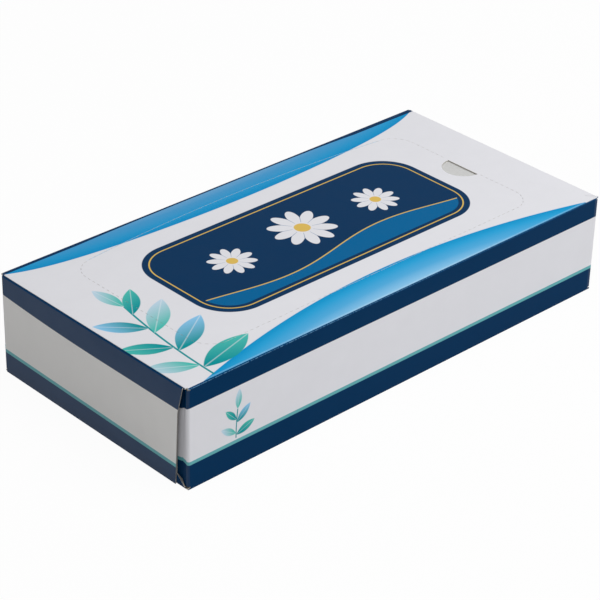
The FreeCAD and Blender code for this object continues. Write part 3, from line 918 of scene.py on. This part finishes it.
def slack_film(film, middle, size):
    """Sinks the film's inner points and leaves its glued border flat."""
    for point in film.data.vertices:
        off = point.co - middle
        inside = min(size.x / 2 - abs(off.x), size.y / 2 - abs(off.y)) - GLUED_BORDER
        slack = min(1.0, max(0.0, inside / SLACK_OVER))
        point.co.z -= MOST_SLACK * slack * max(0.0, wrinkle(off.x / MM, off.y / MM))


# %% [markdown]
# The film is clear, but it is soft polythene and not glass: it hazes what is behind it and
# catches light along its wrinkles. Alpha lets the white pile show through, and the body of
# the film keeps a faint cool grey.

# %% Film finish
def film_finish():
    """Thin, slightly hazy polythene."""
    finish = Finish("clear_film_haze", Base_Color=ink(229, 229, 228), IOR=1.5, Alpha=0.72)
    point = finish.place()
    haze = finish.cloud(point, 3.0, detail=3.0)
    stretch = finish.cloud(finish.stretched(point, 0.3, 1.0, 1.0), 1.1, detail=2.0)
    finish.drive(Roughness=0.16 + haze * 0.18, Normal=finish.relief(haze + stretch * 0.5, 0.5, 0.12))
    return finish.material


film = make_film()
film.data.materials.clear()
film.data.materials.append(film_finish())
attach(film, "root")
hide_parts("window_film")

# %% [markdown]
# ## The tissues
#
# The pile is about a hundred sheets, each folded into the next, so its long sides are rows of
# soft folds and its ends are cut clean. One cube is bisected into layers. Every other ring is
# then drawn in, which turns the smooth side into folds, and the whole side bulges a little
# because the folds are thicker than the middle. The last sheet stops half way across the top.

# %% Pile of tissues
LAYERS = 52
LAST_SHEET_EDGE, LAST_SHEET_STEP = 2 * MM, 0.45 * MM
BULGE, FOLD_DEPTH, JITTER = 2.5 * MM, 0.55 * MM, 0.25


def make_pile():
    """A cube in layers, whose sides are then drawn into folds."""
    low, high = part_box("tissue_stack")
    middle, size = (low + high) / 2, high - low
    bpy.ops.object.select_all(action="DESELECT")
    bpy.ops.mesh.primitive_cube_add(size=1, location=middle, scale=size)
    pile = bpy.context.object
    only(pile)
    bpy.ops.object.transform_apply(location=True, rotation=True, scale=True)
    levels = [low.z + size.z * k / LAYERS for k in range(1, LAYERS)]
    bpy.ops.object.mode_set(mode="EDIT")
    for level in levels:
        bpy.ops.mesh.select_all(action="SELECT")
        bpy.ops.mesh.bisect(plane_co=(0, 0, level), plane_no=(0, 0, 1))
    bpy.ops.mesh.select_all(action="SELECT")
    bpy.ops.mesh.bisect(plane_co=(0, LAST_SHEET_EDGE, 0), plane_no=(0, 1, 0))
    bpy.ops.object.mode_set(mode="OBJECT")
    fold_sides(pile, low, size)
    finish_mesh(pile, "tissue_pile", angle=50)
    return pile


def fold_sides(pile, low, size):
    """Draws every other ring in, bulges the sides and steps the top at the last sheet's edge."""
    chance = random.Random(7)
    jitter = [chance.uniform(-JITTER, JITTER) * MM for _ in range(LAYERS + 1)]
    half = size.y / 2
    for point in pile.data.vertices:
        up = (point.co.z - low.z) / size.z
        ring = round(up * LAYERS)
        narrowing = BULGE * (2 * up - 1) ** 2
        fold = FOLD_DEPTH * (ring % 2)
        if abs(point.co.y) > half * 0.9:
            side = math.copysign(1, point.co.y)
            point.co.y -= side * (narrowing + fold + abs(jitter[ring]))
        point.co.x -= math.copysign(abs(jitter[ring]), point.co.x)
        if ring == LAYERS and point.co.y > LAST_SHEET_EDGE + 1 * MM:
            point.co.z -= LAST_SHEET_STEP


# %% Tissue finish
TISSUE_SHADE, TISSUE_WHITE = ink(226, 226, 224), ink(246, 246, 244)
LAYER_TURN = 7.8


def tissue_finish():
    """Soft creped tissue: fine cross ripples, loose fibres and a row of layers on the sides."""
    finish = Finish("creped_tissue", Specular_IOR_Level=0.1, Sheen_Weight=0.25, Sheen_Roughness=0.6)
    point = finish.place()
    _, _, level = finish.split(point)
    crepe = finish.cloud(finish.stretched(point, 2.2, 0.5, 2.0), 0.9, detail=3.0)
    fibres = finish.cloud(point, 0.25, detail=4.0, roughness=0.75)
    layers = abs(finish.maths("SINE", level * LAYER_TURN))
    colour = finish.ramp(crepe * 0.6 + fibres * 0.4, [(0.25, TISSUE_SHADE), (0.75, TISSUE_WHITE)])
    finish.drive(
        Base_Color=colour,
        Roughness=0.9 + fibres * 0.08,
        Normal=finish.relief(crepe + fibres * 0.4 + layers * 0.5, 0.6, 0.12),
    )
    return finish.material


pile = make_pile()
pile.data.materials.clear()
pile.data.materials.append(tissue_finish())
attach(pile, "root")
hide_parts("tissue_stack")

# %% [markdown]
# ## The glue
#
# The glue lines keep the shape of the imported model. They are dried hot melt: waxy, a little
# amber, with a skin that is shiny in places.

# %% Glue finish
def glue_finish():
    """Dried hot melt, waxy and uneven."""
    finish = Finish("waxy_glue", Subsurface_Weight=0.15, Specular_IOR_Level=0.4)
    finish.surface.inputs["Subsurface Scale"].default_value = 0.4 * MM
    point = finish.place()
    flow = finish.cloud(point, 1.6, detail=3.0)
    colour = finish.ramp(flow, [(0.3, ink(206, 184, 136)), (0.7, ink(232, 220, 190))])
    finish.drive(Base_Color=colour, Roughness=0.34 + flow * 0.3, Normal=finish.relief(flow, 0.6, 0.1))
    return finish.material


glue = glue_finish()
GLUE_NODES = ("film_glue", "side_seam_glue", "left_end_glue", "right_end_glue")
for name in GLUE_NODES:
    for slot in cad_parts[name].material_slots:
        slot.material = glue
print("glue on", len(GLUE_NODES), "nodes")

# %% [markdown]
# ## The stage
#
# The floor is plain and pale. To the camera and to reflections it is mostly a glow of strength
# one, which is white, and the rest is lit board, so the carton keeps a faint shadow and no lamp
# has to be raised to bleach the ground.

# %% Floor
FLOOR_SIZE, FLOOR_DROP = 8, 0.15 * MM
FLOOR_GREY = (0.82, 0.82, 0.82, 1)
GLOW_SHARE = 0.96


def glow_to_camera(wiring, lit, glow_kind, output, share):
    """Lays a white glow over a lit shader for camera, glossy and transmission rays."""
    rays = wiring.node("ShaderNodeLightPath", {}, {}).socket.node.outputs
    camera, glossy, through = (
        Reading(wiring, rays[f"Is {kind} Ray"]) for kind in ("Camera", "Glossy", "Transmission")
    )
    seen = camera.most(glossy).most(through)
    glow = wiring.node(glow_kind, {}, {"Color": (1, 1, 1, 1), "Strength": 1.0})
    lit_shader = Reading(wiring, lit.outputs[0])
    mixed = wiring.node("ShaderNodeMixShader", {}, {0: seen * share, 1: lit_shader, 2: glow})
    wiring.tree.links.new(mixed.socket, wiring.tree.nodes[output].inputs["Surface"])


bpy.ops.object.select_all(action="DESELECT")
bpy.ops.mesh.primitive_plane_add(size=FLOOR_SIZE, location=(0, 0, -FLOOR_DROP))
floor = bpy.context.object
floor.name = "floor"
ground = Finish("pale_floor", Base_Color=FLOOR_GREY, Roughness=0.9, Specular_IOR_Level=0.1)
glow_to_camera(ground, ground.surface, "ShaderNodeEmission", "Material Output", GLOW_SHARE)
floor.data.materials.append(ground.material)
print("floor of", FLOOR_SIZE, "metres")

# %% [markdown]
# ## Light
#
# The photograph is lit from high in front and to the right: the top is brightest, the long
# front a little less, and the left end lies in plain shade. One large soft lamp does that, and
# an even white surround fills the rest. A lamp's power is worked out from the brightness that
# a white card facing it should have.

# %% Lamp and surround
KEY_FROM, KEY_DISTANCE, KEY_SIZE, KEY_BRIGHTNESS = (0.26, -0.42, 0.87), 1.3, 1.0, 0.705
SURROUND_BRIGHTNESS = 0.335


def card_power(brightness, distance):
    """Watts that make a white card, square on at a distance in metres, this bright."""
    return brightness * (math.pi * distance) ** 2


def soft_lamp(name, direction, distance, size, brightness):
    """An area lamp that looks at the carton's middle."""
    bpy.ops.object.light_add(type="AREA", location=Vector(direction).normalized() * distance)
    lamp = bpy.context.object
    lamp.name = name
    lamp.data.size = size
    lamp.data.energy = card_power(brightness, distance)
    lamp.rotation_euler = (-lamp.location).to_track_quat("-Z", "Y").to_euler()


soft_lamp("soft_key", KEY_FROM, KEY_DISTANCE, KEY_SIZE, KEY_BRIGHTNESS)
world = bpy.data.worlds.new("even_surround")
bpy.context.scene.world = world
world.use_nodes = True
surround = world.node_tree.nodes["Background"]
surround.inputs["Color"].default_value = (1, 1, 1, 1)
surround.inputs["Strength"].default_value = SURROUND_BRIGHTNESS
glow_to_camera(Wiring(world.node_tree), surround, "ShaderNodeBackground", "World Output", 1.0)
print("key lamp", round(card_power(KEY_BRIGHTNESS, KEY_DISTANCE), 1), "watts")

# %% [markdown]
# ## Camera
#
# The camera stands where the photographer's did. Its place was found by fitting the seven
# corners of the carton that the photograph shows: a long lens, from the front left, looking
# down by thirty degrees, with the horizon tipped by a degree and a half.

# %% Camera
AZIMUTH, ELEVATION, ROLL = (math.radians(v) for v in (-43.91, 30.45, 1.49))
DISTANCE = 0.9374
TARGET = Vector((-13.45, -8.78, 23.0)) * MM
FOCAL_PIXELS, FRAME_PIXELS = 2258.2, 600
SENSOR_WIDTH = 36


def photo_camera():
    """A camera set from its two angles, its roll and its distance to the target."""
    back = Vector((
        math.sin(AZIMUTH) * math.cos(ELEVATION),
        -math.cos(AZIMUTH) * math.cos(ELEVATION),
        math.sin(ELEVATION),
    ))
    right = Vector((math.cos(AZIMUTH), math.sin(AZIMUTH), 0))
    up = back.cross(right)
    turned_right = right * math.cos(ROLL) + up * math.sin(ROLL)
    turned_up = up * math.cos(ROLL) - right * math.sin(ROLL)
    axes = Matrix((turned_right, turned_up, back)).transposed()
    bpy.ops.object.camera_add()
    camera = bpy.context.object
    camera.name = "photo_camera"
    camera.matrix_world = Matrix.Translation(TARGET + back * DISTANCE) @ axes.to_4x4()
    camera.data.sensor_width = SENSOR_WIDTH
    camera.data.lens = SENSOR_WIDTH * FOCAL_PIXELS / FRAME_PIXELS
    return camera


bpy.context.scene.camera = photo_camera()
bpy.context.scene.view_settings.view_transform = "Standard"
